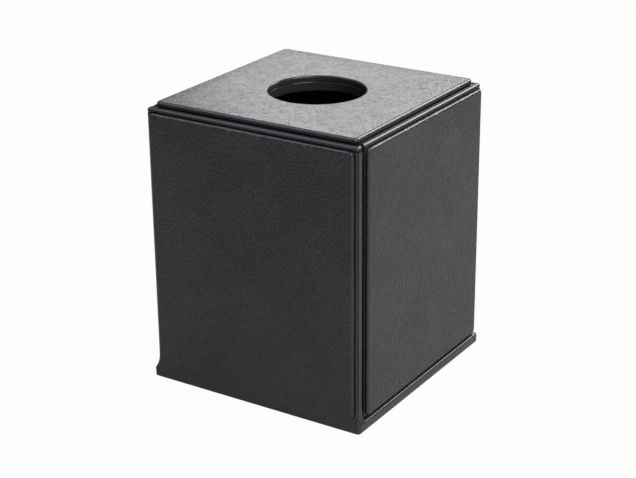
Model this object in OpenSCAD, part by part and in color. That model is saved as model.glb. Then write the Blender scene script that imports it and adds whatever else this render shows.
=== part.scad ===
// Square tissue box cover: boards wrapped in leather, with a raised leather panel on each face,
// a round hole in the top and a low base rim. It is open underneath and lifts off its box of tissues.
// Millimetres, +Z up, the origin at the middle of the underside. The front is the -Y face.

/* [Body] */
// Width across the walls, over the leather
body_w = 132; // [110:1:200]
// Depth from the front wall to the back wall, over the leather
body_d = 132; // [110:1:200]
// Height of the walls' top edge above the table
body_h = 159; // [90:1:220]
// Thickness of the wooden boards
board_t = 4.2; // [3:0.1:8]
// Thickness of the leather
leather_t = 0.8; // [0.5:0.1:1.2]
// Thickness of the suede lining
lining_t = 0.6; // [0.4:0.1:1.5]
// Radius of the walls' outer edges
wall_edge_r = 1.3; // [1:0.1:2]
// Radius of the wrapped edges where two walls meet
joint_r = 0.5; // [0.2:0.1:0.9]

/* [Raised panels] */
// How far the wall panels stand out from the walls
panel_t = 2; // [1.6:0.1:4]
// Thickness of the raised panel on the top
top_panel_t = 3.3; // [2:0.1:6]
// Radius of the panels' outer edges
panel_edge_r = 1.5; // [1:0.1:1.6]
// Radius of the panels' four corners
panel_corner_r = 2.6; // [2:0.1:6]
// Margin from a wall panel to the side edges of its wall
panel_side_margin = 2; // [1:0.1:6]
// Margin from a wall panel to the top edge of its wall
panel_top_margin = 2.1; // [1.5:0.1:8]
// Margin from a wall panel down to the base rim
panel_foot_margin = 1.8; // [1.5:0.1:10]
// Margin from the top panel to the walls' outer faces
top_panel_margin = 3.3; // [2:0.1:10]

/* [Dispensing hole] */
// Diameter of the hole, inside the leather
hole_d = 53.5; // [30:0.5:80]
// Radius of the rolled leather round the hole in the top panel
hole_lip_r = 1; // [0.9:0.1:2]
// Radius of the rolled leather round the hole in the top board
collar_lip_r = 0.6; // [0.4:0.1:2]
// How much wider the lining is cut than the hole, all round
lining_hole_margin = 1; // [0.8:0.1:4]

/* [Base rim] */
// Height of the base rim
base_h = 5.7; // [3:0.1:12]
// How far the rim stands out from the walls
base_proud = 2; // [1:0.1:4]
// Radius of the rim's upper and lower edges
base_edge_r = 1.1; // [0.9:0.1:1.4]
// Gap between the apron on the front wall's foot and the panel above it
apron_gap = 0.2; // [0.1:0.1:1]
// How far the apron stops short of the rim's outer face
apron_setback = 0.8; // [0.2:0.1:0.9]

/* [Hidden] */
LEATHER = "#2a2b2e";
BOARD = "#b3936b";
LINING = "#1b1b1d";
$fn = 64;
// How far a cutter runs past the face that it cuts
overrun = 1;

// A wrapped wall, over its leather
wall_t = board_t + leather_t;
wall_h = body_h - base_h;
// The space between the walls, before it is lined
inner_w = body_w - 2 * wall_t;
inner_d = body_d - 2 * wall_t;
// The walls in turn: front, right, back and left. The front wall runs the whole width, the side
// walls stand behind it, and the back wall stands between the side walls
wall_widths = [body_w, body_d - wall_t, inner_w, body_d - wall_t];
wall_reaches = [body_d / 2, body_w / 2, body_d / 2, body_w / 2];
wall_middles = [0, wall_t / 2, 0, -wall_t / 2];
wall_end_radii = [
    [wall_edge_r, wall_edge_r],
    [joint_r, wall_edge_r],
    [joint_r, joint_r],
    [wall_edge_r, joint_r]
];
// The top board hangs between the walls, with its leather flush with their top edges
top_board_z = body_h - wall_t;
// Raised panels
panel_h = wall_h - panel_top_margin - panel_foot_margin;
panel_z = base_h + panel_foot_margin + panel_h / 2;
top_panel_w = body_w - 2 * top_panel_margin;
top_panel_d = body_d - 2 * top_panel_margin;
hole_r = hole_d / 2;
// Base rim, with corners that follow the walls' own
base_w = body_w + 2 * base_proud;
base_d = body_d + 2 * base_proud;
base_corner_r = wall_edge_r + base_proud;
// The apron's hollow, an arc that leaves the wall upright and ends on the rim. It reaches out no
// further than it is high
apron_h = panel_foot_margin - apron_gap;
apron_reach = min(base_proud - apron_setback, apron_h);
apron_r = (apron_reach * apron_reach + apron_h * apron_h) / (2 * apron_reach);

// Outlines and solids that the pieces share

// What a rounded corner at the origin loses: the square there, less the round that stays
module corner_nick(r) {
    difference() {
        translate([-overrun, -overrun]) square(r + overrun);
        translate([r, r]) circle(r);
    }
}

// A rectangle from the origin; the radii go round from the corner at the origin, anticlockwise
module rounded_bar(w, d, radii) {
    corners = [[0, 0], [w, 0], [w, d], [0, d]];
    difference() {
        square([w, d]);
        for (i = [0:3])
            if (radii[i] > 0)
                translate(corners[i]) rotate(90 * i) corner_nick(radii[i]);
    }
}

// A plate on z = 0 with rounded corners and a rounded upper edge; foot_r rounds the lower edge too
module soft_plate(w, d, t, corner_r, edge_r, foot_r = 0) {
    straight_w = w - 2 * corner_r;
    straight_d = d - 2 * corner_r;
    edge_radii = [foot_r, foot_r, edge_r, edge_r];
    rotate([90, 0, 0]) translate([-w / 2, 0, -straight_d / 2])
        linear_extrude(straight_d) rounded_bar(w, t, edge_radii);
    rotate([90, 0, 90]) translate([-d / 2, 0, -straight_w / 2])
        linear_extrude(straight_w) rounded_bar(d, t, edge_radii);
    for (i = [0:3]) {
        side_x = (i == 0 || i == 3) ? 1 : -1;
        side_y = i < 2 ? 1 : -1;
        translate([side_x * straight_w / 2, side_y * straight_d / 2, 0]) rotate(90 * i)
            rotate_extrude(angle = 90) rounded_bar(corner_r, t, [0, foot_r, edge_r, 0]);
    }
}

// What a round hole takes from a plate on z = 0, with the plate's upper edge rolled into the hole
module hole_cut(r, t, lip_r) {
    translate([0, 0, -2 * overrun]) cylinder(h = t + 4 * overrun, r = r);
    if (lip_r > 0)
        rotate_extrude() translate([r, t]) mirror([0, 1]) corner_nick(lip_r);
}

// How many quarter turns a wall stands from the front wall, anticlockwise from above
function turn(side) = side == "front" ? 0 : side == "right" ? 1 : side == "back" ? 2 : 3;

// Moves a piece drawn for the front wall, with the wall's face at y = 0, to the wall of that side
module at_wall(side, z) {
    rotate(90 * turn(side)) translate([wall_middles[turn(side)], -wall_reaches[turn(side)], z]) children();
}

// Walls

// A wall over its leather: plan, side view and front view, each with its rounded edges
module wall_block(side) {
    w = wall_widths[turn(side)];
    ends = wall_end_radii[turn(side)];
    intersection() {
        translate([-w / 2, 0, 0])
            linear_extrude(wall_h) rounded_bar(w, wall_t, [ends[0], ends[1], 0, 0]);
        translate([-w / 2, 0, 0]) rotate([90, 0, 90])
            linear_extrude(w) rounded_bar(wall_t, wall_h, [joint_r, 0, 0, wall_edge_r]);
        translate([-w / 2, wall_t, 0]) rotate([90, 0, 0])
            linear_extrude(wall_t) rounded_bar(w, wall_h, [0, 0, ends[1], ends[0]]);
    }
}

// The board inside a wall; past lengthens it inwards, where it cuts the leather open
module wall_core(side, past = 0) {
    w = wall_widths[turn(side)] - 2 * leather_t;
    translate([-w / 2, leather_t, leather_t])
        cube([w, board_t + past, wall_h - 2 * leather_t]);
}

module wall_board(side) {
    color(BOARD) at_wall(side, base_h) wall_core(side);
}

module wall_wrap(side) {
    color(LEATHER) at_wall(side, base_h) difference() {
        union() {
            wall_block(side);
            if (side == "front")
                apron();
        }
        wall_core(side, overrun);
    }
}

// The outline of the apron from a line under the wall's face at lead, out to its thin edge
module apron_section(lead) {
    difference() {
        square([lead + apron_reach, apron_h]);
        translate([lead + apron_r, apron_h]) circle(apron_r);
    }
}

// The front wall's leather sweeps out over the base rim, along the front and round both ends
module apron() {
    front_run = body_w - 2 * wall_edge_r;
    end_run = wall_t - wall_edge_r;
    translate([front_run / 2, wall_edge_r, 0]) rotate([90, 0, -90])
        linear_extrude(front_run) apron_section(wall_edge_r);
    for (side = [0, 1]) mirror([side, 0, 0]) translate([front_run / 2, wall_edge_r, 0]) {
        rotate(-90) rotate_extrude(angle = 90) apron_section(wall_edge_r);
        translate([0, end_run, 0]) rotate([90, 0, 0])
            linear_extrude(end_run) apron_section(wall_edge_r);
    }
}

// Top

// The board between the walls with its hole; past enlarges it all round and below, as a cutter
module top_core(past = 0) {
    difference() {
        translate([-inner_w / 2 - past, -inner_d / 2 - past, -past])
            cube([inner_w + 2 * past, inner_d + 2 * past, board_t + past]);
        hole_cut(hole_r + leather_t, board_t, collar_lip_r - leather_t);
    }
}

module top_board() {
    color(BOARD) translate([0, 0, top_board_z]) top_core();
}

// The leather over the top board, with a collar that rolls down into the hole
module top_wrap() {
    color(LEATHER) translate([0, 0, top_board_z]) difference() {
        translate([-inner_w / 2, -inner_d / 2, 0]) cube([inner_w, inner_d, wall_t]);
        hole_cut(hole_r, wall_t, collar_lip_r);
        top_core(overrun);
    }
}

// Raised panels

// A wall panel at its outer size, or inside its skin with inset; past sinks its back into the wall
module panel_plate(side, inset = 0, past = 0) {
    w = wall_widths[turn(side)] - 2 * panel_side_margin;
    rotate([90, 0, 0]) translate([0, 0, -past])
        soft_plate(w - 2 * inset, panel_h - 2 * inset, panel_t - inset + past,
                   panel_corner_r - inset, panel_edge_r - inset);
}

module panel_board(side) {
    color(BOARD) at_wall(side, panel_z) panel_plate(side, leather_t);
}

module panel_skin(side) {
    color(LEATHER) at_wall(side, panel_z) difference() {
        panel_plate(side);
        panel_plate(side, leather_t, overrun);
    }
}

// The top panel with its hole, at its outer size or inside its skin
module top_panel_plate(inset = 0, past = 0) {
    difference() {
        translate([0, 0, -past])
            soft_plate(top_panel_w - 2 * inset, top_panel_d - 2 * inset, top_panel_t - inset + past,
                       panel_corner_r - inset, panel_edge_r - inset);
        hole_cut(hole_r + inset, top_panel_t - inset, hole_lip_r - inset);
    }
}

module top_panel_board() {
    color(BOARD) translate([0, 0, body_h]) top_panel_plate(leather_t);
}

module top_panel_skin() {
    color(LEATHER) translate([0, 0, body_h]) difference() {
        top_panel_plate();
        top_panel_plate(leather_t, overrun);
    }
}

// Base rim

// The opening in the base rim, as wide as the space between the walls
module base_opening() {
    translate([-inner_w / 2, -inner_d / 2, -overrun])
        cube([inner_w, inner_d, base_h + 2 * overrun]);
}

// The rim's outer form without its opening, or the board inside its leather
module base_plate(inset = 0) {
    edge_r = base_edge_r - inset;
    translate([0, 0, inset])
        soft_plate(base_w - 2 * inset, base_d - 2 * inset, base_h - 2 * inset,
                   base_corner_r - inset, edge_r, edge_r);
}

module base_board() {
    color(BOARD) difference() {
        base_plate(leather_t);
        base_opening();
    }
}

module base_wrap() {
    color(LEATHER) difference() {
        base_plate();
        base_plate(leather_t);
        base_opening();
    }
}

// Lining, from the underside of the rim up to the top board

// The front and back sheets run the whole width, and the side sheets stand between them
module wall_lining(side) {
    along_front = side == "front" || side == "back";
    w = along_front ? inner_w : inner_d - 2 * lining_t;
    reach = (along_front ? inner_d : inner_w) / 2;
    color(LINING) rotate(90 * turn(side)) translate([-w / 2, -reach, 0])
        cube([w, lining_t, top_board_z]);
}

module top_lining() {
    w = inner_w - 2 * lining_t;
    d = inner_d - 2 * lining_t;
    color(LINING) translate([0, 0, top_board_z - lining_t]) difference() {
        translate([-w / 2, -d / 2, 0]) cube([w, d, lining_t]);
        hole_cut(hole_r + lining_hole_margin, lining_t, 0);
    }
}

wall_board("front");  // front_board
wall_board("right");  // right_board
wall_board("back");  // back_board
wall_board("left");  // left_board
top_board();
wall_wrap("front");  // front_wrap
wall_wrap("right");  // right_wrap
wall_wrap("back");  // back_wrap
wall_wrap("left");  // left_wrap
top_wrap();
panel_board("front");  // front_panel_board
panel_board("right");  // right_panel_board
panel_board("back");  // back_panel_board
panel_board("left");  // left_panel_board
top_panel_board();
panel_skin("front");  // front_panel_skin
panel_skin("right");  // right_panel_skin
panel_skin("back");  // back_panel_skin
panel_skin("left");  // left_panel_skin
top_panel_skin();
base_board();
base_wrap();
wall_lining("front");  // front_lining
wall_lining("right");  // right_lining
wall_lining("back");  // back_lining
wall_lining("left");  // left_lining
top_lining();
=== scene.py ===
"""Square tissue box cover: boards wrapped in black grained leather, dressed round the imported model.

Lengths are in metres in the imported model's own frame: +Z up, the origin in the middle of the underside,
the front wall towards -Y and the right wall towards +X. Each leather piece is modelled as a sheet of
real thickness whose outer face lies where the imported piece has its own.
"""

import logging
import math
from dataclasses import dataclass, field
from enum import Enum
from typing import Any, Sequence

import bpy
from mathutils import Matrix, Vector, noise


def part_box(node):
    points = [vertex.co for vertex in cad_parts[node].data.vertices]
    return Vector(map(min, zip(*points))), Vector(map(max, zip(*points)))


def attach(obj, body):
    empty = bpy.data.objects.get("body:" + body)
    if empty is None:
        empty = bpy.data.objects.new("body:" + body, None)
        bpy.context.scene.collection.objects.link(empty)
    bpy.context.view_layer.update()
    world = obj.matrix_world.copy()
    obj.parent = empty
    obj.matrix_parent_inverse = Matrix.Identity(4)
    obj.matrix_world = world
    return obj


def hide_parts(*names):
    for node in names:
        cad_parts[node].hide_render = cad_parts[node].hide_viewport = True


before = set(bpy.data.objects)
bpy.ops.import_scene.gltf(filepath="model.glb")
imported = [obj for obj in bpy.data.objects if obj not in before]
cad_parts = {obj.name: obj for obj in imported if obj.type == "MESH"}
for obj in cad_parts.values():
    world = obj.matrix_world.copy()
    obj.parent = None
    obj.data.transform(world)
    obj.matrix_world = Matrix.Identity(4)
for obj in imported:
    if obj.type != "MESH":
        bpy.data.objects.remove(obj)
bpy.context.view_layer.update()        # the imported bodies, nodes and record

MM = 0.001
BODY = "root"

Colour = tuple[float, float, float]
WHITE: Colour = (1.0, 1.0, 1.0)
log = logging.getLogger("tissue_box_cover")


class Side(Enum):
    """The four walls, by the quarter turns from the front wall, anticlockwise from above."""

    FRONT = 0
    RIGHT = 1
    BACK = 2
    LEFT = 3

    def node(self, piece: str) -> str:
        """Name of this wall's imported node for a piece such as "board"."""
        return f"{self.name.lower()}_{piece}"

    def turn(self) -> Matrix:
        """Turns a piece drawn for the front wall to this wall."""
        return Matrix.Rotation(math.radians(90 * self.value), 3, "Z")

    def box(self, piece: str) -> tuple[Vector, Vector]:
        """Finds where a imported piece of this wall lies, seen as if it were the front wall's.

        Args:
            piece: The piece's name without its wall, such as "board".

        Returns:
            Its lowest and highest corner, turned back to the front wall.
        """
        back = self.turn().inverted()
        a, b = (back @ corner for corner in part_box(self.node(piece)))
        return Vector(map(min, a, b)), Vector(map(max, a, b))


class Stretch(Enum):
    """The stretches of a wall's leather in plan, from its start to its end."""

    START_LEG = "start leg"
    START_CORNER = "start corner"
    FACE = "face"
    END_CORNER = "end corner"
    END_LEG = "end leg"


def bore_radius(node: str) -> float:
    """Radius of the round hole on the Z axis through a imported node."""
    return min(math.hypot(v.co.x, v.co.y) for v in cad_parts[node].data.vertices)


def smooth_step(low: float, high: float, value: float) -> float:
    """Rises smoothly from 0 at low to 1 at high."""
    share = min(1.0, max(0.0, (value - low) / (high - low)))
    return share * share * (3 - 2 * share)


def bell(share: float) -> float:
    """A hump that is 0 at 0 and 1, and 1 in the middle."""
    return max(0.0, 1 - (2 * share - 1) ** 2)


def blend(start: float, end: float, share: float) -> float:
    """The value that lies at share of the way from start to end."""
    return start + (end - start) * share


def dense_ends(count: int) -> list[float]:
    """Shares from 0 to 1 that crowd towards both ends."""
    return [0.5 - 0.5 * math.cos(math.pi * k / count) for k in range(count + 1)]


def quarter_arc(steps: int) -> list[tuple[float, float, float]]:
    """Lists share, cosine and sine at even steps along a quarter circle, from 0 to 90 degrees."""
    shares = [k / steps for k in range(steps + 1)]
    return [(share, math.cos(share * math.pi / 2), math.sin(share * math.pi / 2)) for share in shares]


LONG_WAVE_SHARE = 0.7
SHORT_WAVES_PER_LONG = 2.7


def waviness(place: Vector, seed: float, wave: float) -> float:
    """Gives the smooth unevenness of hand-laid leather at a place.

    Args:
        place: Where on the piece.
        seed: Sets one piece's unevenness apart from another's.
        wave: Length of the longer of its two waves.

    Returns:
        A value of about -1 to 1.
    """
    shifted = place + Vector((seed, 2 * seed, -seed))
    short = noise.noise(shifted * SHORT_WAVES_PER_LONG / wave)
    return blend(short, noise.noise(shifted / wave), LONG_WAVE_SHARE)


@dataclass
class Sheet:
    """One sheet of leather: rows of points joined by four-sided faces, then given its thickness."""

    points: list[Vector] = field(default_factory=list)
    rub: list[float] = field(default_factory=list)
    body: list[float] = field(default_factory=list)
    faces: list[tuple[int, ...]] = field(default_factory=list)

    def row(
        self, points: Sequence[Vector], rub: float | Sequence[float] = 0.0, body: float = 1.0
    ) -> list[int]:
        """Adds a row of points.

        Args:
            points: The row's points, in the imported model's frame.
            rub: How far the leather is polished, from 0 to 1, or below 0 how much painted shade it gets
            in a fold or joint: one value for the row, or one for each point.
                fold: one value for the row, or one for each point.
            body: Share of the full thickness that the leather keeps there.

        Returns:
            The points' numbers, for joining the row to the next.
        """
        first = len(self.points)
        self.points.extend(points)
        self.rub.extend([rub] * len(points) if isinstance(rub, float) else rub)
        self.body.extend([body] * len(points))
        return list(range(first, len(self.points)))

    def join(self, lower: Sequence[int], upper: Sequence[int], closed: bool) -> None:
        """Joins two rows with faces, all the way round when closed."""
        count = len(lower)
        for k in range(count if closed else count - 1):
            after = (k + 1) % count
            self.faces.append((lower[k], lower[after], upper[after], upper[k]))

    def join_all(self, rows: Sequence[Sequence[int]], closed: bool) -> None:
        """Joins each row to the one after it."""
        for lower, upper in zip(rows, rows[1:]):
            self.join(lower, upper, closed)

    def fan(self, ring: Sequence[int], middle: Vector) -> None:
        """Closes a ring with three-sided faces round its middle."""
        centre = self.row([middle])[0]
        for k, corner in enumerate(ring):
            self.faces.append((corner, ring[(k + 1) % len(ring)], centre))

    def build(self, name: str, inside: Vector, thickness: float) -> bpy.types.Object:
        """Makes the mesh, faces it outwards and gives it its thickness.

        Args:
            name: The piece's name.
            inside: A point behind the sheet, from which its faces look away.
            thickness: The leather's thickness, which grows inwards.

        Returns:
            The new piece, in the scene and with no material yet.
        """
        mesh = bpy.data.meshes.new(name)
        mesh.from_pydata([tuple(p) for p in self.points], [], self.faces)
        looks = sum(f.area * (f.center - inside).dot(f.normal) for f in mesh.polygons)
        if looks < 0:
            mesh.flip_normals()
        mesh.polygons.foreach_set("use_smooth", [True] * len(mesh.polygons))
        mask = mesh.attributes.new("rub", "FLOAT", "POINT")
        mask.data.foreach_set("value", self.rub)
        piece = bpy.data.objects.new(name, mesh)
        bpy.context.scene.collection.objects.link(piece)
        skived = piece.vertex_groups.new(name="skived")
        for k, share in enumerate(self.body):
            skived.add([k], share, "REPLACE")
        solid = piece.modifiers.new("leather thickness", "SOLIDIFY")
        solid.thickness = thickness
        solid.offset = -1.0
        solid.vertex_group = skived.name
        mesh.update()
        return piece


def hand_over(piece: bpy.types.Object, node: str, finish: bpy.types.Material) -> None:
    """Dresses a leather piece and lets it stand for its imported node.

    Args:
        piece: The new piece.
        node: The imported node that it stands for.
        finish: Its material.
    """
    piece.data.materials.append(finish)
    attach(piece, BODY)
    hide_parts(node)
    log.info("%s: %d points, stands for %s", piece.name, len(piece.data.vertices), node)


# Heights over the apron's lower edge, one for each row of the tucked profile
APRON_RISES = tuple(
    rise * MM for rise in (0, 0.2, 0.4, 0.65, 0.95, 1.3, 1.7, 2.2, 2.8, 3.5, 4.4, 5.6, 7.2, 9.4, 12)
)
# Shares of the way from the crown of the top edge down to its flat inner part
CROWN_FALL_SHARES = (0.3, 0.6, 0.85, 1.0)
# Where the polish of the top edge starts and ends, in edge radii over the wall's head
EDGE_POLISH_SPAN = (-1.4, 0.4)
# The part of a hump that the polish of a free corner follows
CORNER_POLISH_SHARES = (0.15, 0.85)


@dataclass(frozen=True)
class PlanStation:
    """A place along a wall's leather in plan: a stretch and how far along it."""

    stretch: Stretch
    share: float


@dataclass(frozen=True)
class Column:
    """The leather at one station, from the foot to the top edge.

    Its points come with the directions in which they face and how far each is rubbed, or below 0 how
    much painted shade it gets in a fold or joint.
    """

    points: list[Vector]
    facings: list[Vector]
    rubs: list[float]


@dataclass
class WallLeather:
    """The leather of one wall: over its face, over its top edge, and round each free end.

    A wall with an apron carries its leather down over the base rim. Under the panel it laps over the
    panel's rolled foot, and beside the panel it sweeps out in a long curve.
    """

    side: Side
    free_start: bool
    free_end: bool
    apron: bool = False
    edge_r: float = 1.3 * MM
    crown_run: float = 2.2 * MM
    crown_rise: float = 0.5 * MM
    crown_end: float = 3.15 * MM
    joint_r: float = 1.3 * MM
    joint_gap: float = 0.02 * MM
    joint_room_share: float = 1.05
    # painted shade added at each step into a joint
    joint_painted_shade_step: float = 0.4
    tail: float = 1.2 * MM
    mitre_r: float = 0.35 * MM
    mitre_depth: float = 0.2 * MM
    flare_share: float = 0.4
    thickness: float = 0.4 * MM
    top_hem: float = 0.8 * MM
    bead_drop: float = 0.75 * MM
    bead_half_h: float = 0.35 * MM
    bead_depth: float = 0.38 * MM
    bead_spread: tuple[float, ...] = (-3, -1.8, -1.2, -0.6, 0, 0.6, 1.2, 1.8)  # in half heights
    lap_place_share: float = 0.38
    lap_half_share: float = 0.09
    lap_depth: float = 0.5 * MM
    least_fold: float = 0.15
    uneven: float = 0.03 * MM
    wave: float = 22 * MM
    apron_reach: float = 2.03 * MM
    apron_drop: float = 1.15 * MM
    apron_lap: float = 0.95 * MM
    apron_roll: float = 0.14 * MM
    apron_up_shares: tuple[float, ...] = (0, 0.12, 0.26, 0.42, 0.6, 0.8, 1)
    apron_tuck: tuple[tuple[float, float], ...] = (  # share of the reach, height over the panel's foot
        (0.84, 0.48 * MM), (0.64, 0.14 * MM), (0.3, -0.12 * MM), (0.0, 0.4 * MM), (0.0, 4 * MM)
    )
    apron_skived: float = 0.25
    apron_full_row: int = 1
    apron_hold: float = 0.5 * MM
    apron_sweep_h: float = 11.5 * MM
    apron_power: float = 3.4
    apron_blend: float = 2.3 * MM
    face_steps: int = 48
    leg_steps: int = 6
    corner_steps: int = 22
    roll_steps: int = 9
    joint_steps: int = 4
    apron_roll_steps: int = 3
    height_steps: int = 26

    def __post_init__(self) -> None:
        """Reads the wall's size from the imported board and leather."""
        low, high = self.side.box("board")
        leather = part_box("back_wrap")[1].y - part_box("back_board")[1].y
        self.start, self.end = low.x - leather, high.x + leather
        self.reach = -low.y + leather
        self.wall_t = high.y - low.y + leather
        self.foot, self.head = low.z - leather, high.z + leather
        skin_low, skin_high = self.side.box("panel_skin")
        self.panel_start, self.panel_end = skin_low.x, skin_high.x
        self.panel_foot = skin_low.z

    def corner_r(self, inset: float) -> float:
        """Radius of the free corners in plan, where the leather lies inset from the wall's face."""
        return max(self.edge_r - (inset if inset > 0 else self.flare_share * inset), self.mitre_r)

    def stations(self) -> list[PlanStation]:
        """Lists the places along the wall's leather, from its start to its end."""
        clear = self.joint_room_share * self.joint_r
        past = clear / (self.wall_t - self.edge_r)
        leg = [0.0] + [blend(past, 1.0, k / self.leg_steps) for k in range(self.leg_steps)]
        arc = [k / self.corner_steps for k in range(self.corner_steps)]
        margin = clear / (self.end - self.start)
        low = 0.0 if self.free_start else margin
        high = 1.0 if self.free_end else 1 - margin
        face = [share for share in dense_ends(self.face_steps) if share in (0, 1) or low < share < high]
        found: list[PlanStation] = []
        if self.free_start:
            found += [PlanStation(Stretch.START_LEG, share) for share in leg]
            found += [PlanStation(Stretch.START_CORNER, share) for share in arc]
        found += [PlanStation(Stretch.FACE, share) for share in face]
        if self.free_end:
            found += [PlanStation(Stretch.END_CORNER, share) for share in reversed(arc)]
            found += [PlanStation(Stretch.END_LEG, share) for share in reversed(leg)]
        return found

    def in_plan(self, station: PlanStation, inset: float) -> tuple[Vector, Vector]:
        """Finds a station's place in plan.

        Args:
            station: The station.
            inset: How far the leather lies behind the wall's face there, below 0 in front of it.

        Returns:
            Its place and the outward direction, seen as if it were the front wall's.
        """
        r = self.corner_r(inset)
        front = -self.reach + inset
        left = self.start + inset if self.free_start else self.start
        right = self.end - inset if self.free_end else self.end
        joint = -self.reach + self.wall_t
        if station.stretch in (Stretch.START_LEG, Stretch.END_LEG):
            y = blend(joint, front + r, station.share)
            if station.stretch is Stretch.START_LEG:
                return Vector((left, y, 0)), Vector((-1, 0, 0))
            return Vector((right, y, 0)), Vector((1, 0, 0))
        if station.stretch in (Stretch.START_CORNER, Stretch.END_CORNER):
            angle = station.share * math.pi / 2
            sign, x = (-1, left + r) if station.stretch is Stretch.START_CORNER else (1, right - r)
            out = Vector((sign * math.cos(angle), -math.sin(angle), 0))
            return Vector((x, front + r, 0)) + r * out, out
        first = left + r if self.free_start else left
        last = right - r if self.free_end else right
        return Vector((blend(first, last, station.share), front, 0)), Vector((0, -1, 0))

    def apron_share(self, station: PlanStation) -> float:
        """How far the foot sweeps out as at a corner: 0 under the panel and 1 clear of it."""
        if station.stretch is not Stretch.FACE:
            return 1.0
        x = self.in_plan(station, 0.0)[0].x
        clear = max(self.panel_start - x, x - self.panel_end)
        return smooth_step(-self.apron_blend, self.apron_blend / 2, clear)

    def foot_rows(self, sweep: float) -> list[tuple[float, float]]:
        """Gives the profile of the wall's foot.

        Args:
            sweep: The apron's share at that station.

        Returns:
            Pairs of inset and height, from the lower edge upwards.
        """
        if self.apron:
            pairs = zip(self.tucked_rows(), self.swept_rows())
            return [(blend(a[0], b[0], sweep), blend(a[1], b[1], sweep)) for a, b in pairs]
        r, seat = self.joint_r, self.foot + self.joint_gap
        rolled = [(r * (1 - sin), seat + r * (1 - cos)) for _, cos, sin in quarter_arc(self.joint_steps)]
        return [(r + self.tail, seat), *rolled]

    def tucked_rows(self) -> list[tuple[float, float]]:
        """Gives the apron's profile under the panel: up over its rolled foot, then back in under it."""
        lowest, foot = self.foot - self.apron_drop, self.panel_foot
        reach, r = self.apron_reach, self.apron_roll
        lap = foot + self.apron_lap
        rows = [(-reach, blend(lowest, lap - r, share)) for share in self.apron_up_shares]
        arc = quarter_arc(self.apron_roll_steps)[1:]
        rows += [(-reach + r * (1 - cos), lap - r + r * sin) for _, cos, sin in arc]
        return rows + [(-share * reach, foot + lift) for share, lift in self.apron_tuck]

    def swept_rows(self) -> list[tuple[float, float]]:
        """Gives the apron's profile at a free corner, where it sweeps out in a long curve."""
        rows = []
        for rise in APRON_RISES:
            share = (1 - max(0.0, rise - self.apron_hold) / self.apron_sweep_h) ** self.apron_power
            rows.append((-self.apron_reach * share, self.foot - self.apron_drop + rise))
        return rows

    def profile(self, sweep: float) -> list[tuple[float, float]]:
        """Gives the wall's whole profile at a station.

        Args:
            sweep: The apron's share there.

        Returns:
            Pairs of inset and height, from the foot, up the face and over the top edge.
        """
        rows = self.foot_rows(sweep)
        top = self.head - self.edge_r
        foot = rows[-1][1]
        bead = top - self.bead_drop
        below = bead + self.bead_spread[0] * self.bead_half_h
        rows += [(0.0, blend(foot, below, k / self.height_steps)) for k in range(1, self.height_steps)]
        rows += [(0.0, bead + step * self.bead_half_h) for step in self.bead_spread]
        run, rise = self.crown_run, self.crown_rise
        lift = self.edge_r + rise
        rows += [(run * (1 - cos), top + lift * sin) for _, cos, sin in quarter_arc(self.roll_steps)]
        for share in CROWN_FALL_SHARES:
            level = self.head + rise * (1 - smooth_step(0, 1, share))
            rows.append((blend(run, self.crown_end, share), level))
        hem = self.wall_t - self.top_hem
        return rows + [(blend(self.crown_end, hem, share), self.head) for share in (0.5, 1.0)]

    def groove(self, inset: float, z: float) -> float:
        """How far a place lies in the groove under the top edge's bead, from 0 to 1."""
        under = (z - self.head + self.edge_r + self.bead_drop) / self.bead_half_h
        return math.exp(-(under**2)) if inset < self.edge_r else 0.0

    def lap(self, station: PlanStation, z: float) -> float:
        """How far a place lies in the fold where the leather laps at a free corner, from 0 to 1."""
        if station.stretch not in (Stretch.START_CORNER, Stretch.END_CORNER):
            return 0.0
        fade = smooth_step(self.head, self.head - 2 * self.edge_r, z)
        fade *= smooth_step(self.foot, self.foot + self.apron_sweep_h, z)
        away = (station.share - self.lap_place_share) / self.lap_half_share
        return fade * math.exp(-(away**2))

    def dents(self, station: PlanStation, inset: float, z: float) -> float:
        """Gives the depth of the groove under the top edge's bead and of the folds at the free corners.

        Args:
            station: The station.
            inset: How far the leather lies behind the wall's face there.
            z: Its height.

        Returns:
            How deep the leather is pressed in.
        """
        depth = self.bead_depth * self.groove(inset, z) + self.lap_depth * self.lap(station, z)
        if station.stretch in (Stretch.START_CORNER, Stretch.END_CORNER):
            on_top = smooth_step(0.5 * self.edge_r, self.edge_r, inset)
            depth += self.mitre_depth * on_top * bell(station.share) ** 2
        return depth

    def polish_and_painted_shade(self, station: PlanStation, inset: float, z: float) -> float:
        """How far the leather is polished, most on the top edge and the free corners, or below 0 its
        painted shade in a fold.
        """
        fold = max(self.groove(inset, z), self.lap(station, z))
        # painted shade: in the groove under the bead and in the lap folds at the free corners the mask goes
        # below 0
        if fold > self.least_fold:
            return -fold
        start, end = (self.head + lift * self.edge_r for lift in EDGE_POLISH_SPAN)
        over = bell(smooth_step(start, end, z))
        edge = over if 0 < inset < self.crown_run and z > self.foot + self.edge_r else 0.0
        if station.stretch in (Stretch.START_CORNER, Stretch.END_CORNER):
            edge = max(edge, bell(blend(*CORNER_POLISH_SHARES, station.share)))
        return edge

    def column(self, station: PlanStation) -> Column:
        """Works out the leather from the foot to the top edge at one station.

        Args:
            station: The station.

        Returns:
            The leather there.
        """
        rows = self.profile(self.apron_share(station) if self.apron else 0.0)
        column = Column([], [], [])
        for k, (inset, z) in enumerate(rows):
            before, after = rows[max(0, k - 1)], rows[min(len(rows) - 1, k + 1)]
            along = Vector((after[0] - before[0], after[1] - before[1])).normalized()
            place, out = self.in_plan(station, inset)
            facing = along.y * out + Vector((0, 0, along.x))
            place.z = z
            bump = self.uneven * waviness(place, self.side.value + 1.0, self.wave)
            place += facing * (bump - self.dents(station, inset, z))
            column.points.append(place)
            column.facings.append(facing)
            column.rubs.append(self.polish_and_painted_shade(station, inset, z))
        return column

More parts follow.
